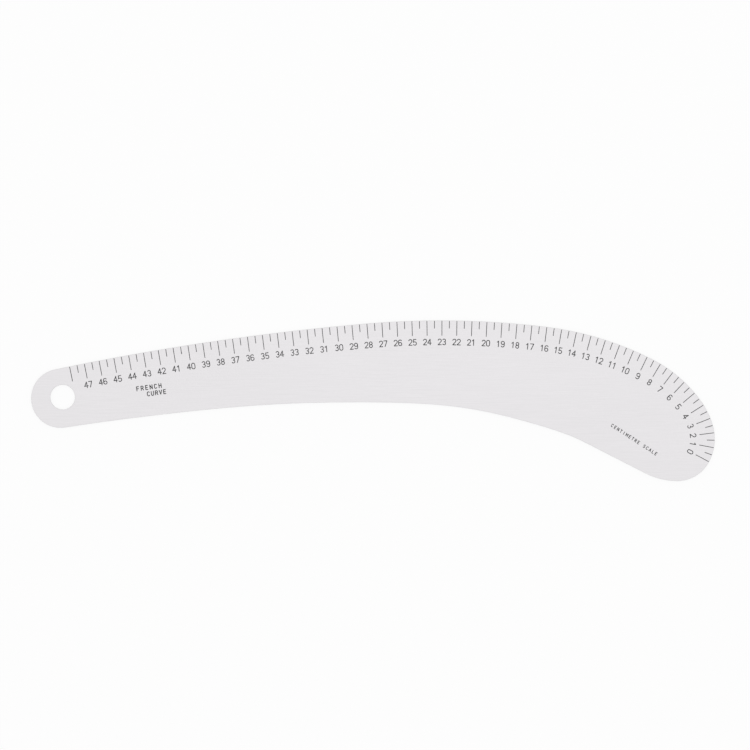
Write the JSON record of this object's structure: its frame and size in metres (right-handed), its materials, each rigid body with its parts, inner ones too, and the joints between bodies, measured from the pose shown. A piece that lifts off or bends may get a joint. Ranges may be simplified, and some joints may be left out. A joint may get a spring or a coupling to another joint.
{
  "type": "french curve",
  "caption": "Flat aluminium french curve with a large rounded head, long tapering hollow edge, rounded tail with a hanging hole, and a numbered centimetre scale along its outer edge.",
  "frame": {"origin": "middle of the bounding box in plan, on the back face, as the curve lies flat with its printed front up", "axes": "+X along the curve's length, towards the head; +Y from the hollow edge towards the long numbered edge; +Z out of the printed front"},
  "size_m": [0.455, 0.1068, 0.0012],
  "materials": {
    "blade_aluminium": "satin clear anodised",
    "marking_paint": "matte black paint"
  },
  "bodies": {
    "root": {"blade": "blade_aluminium", "centimetre_lines": "marking_paint", "half_centimetre_lines": "marking_paint", "centimetre_numerals": "marking_paint", "title": "marking_paint", "unit_words": "marking_paint"}
  },
  "joints": []
}
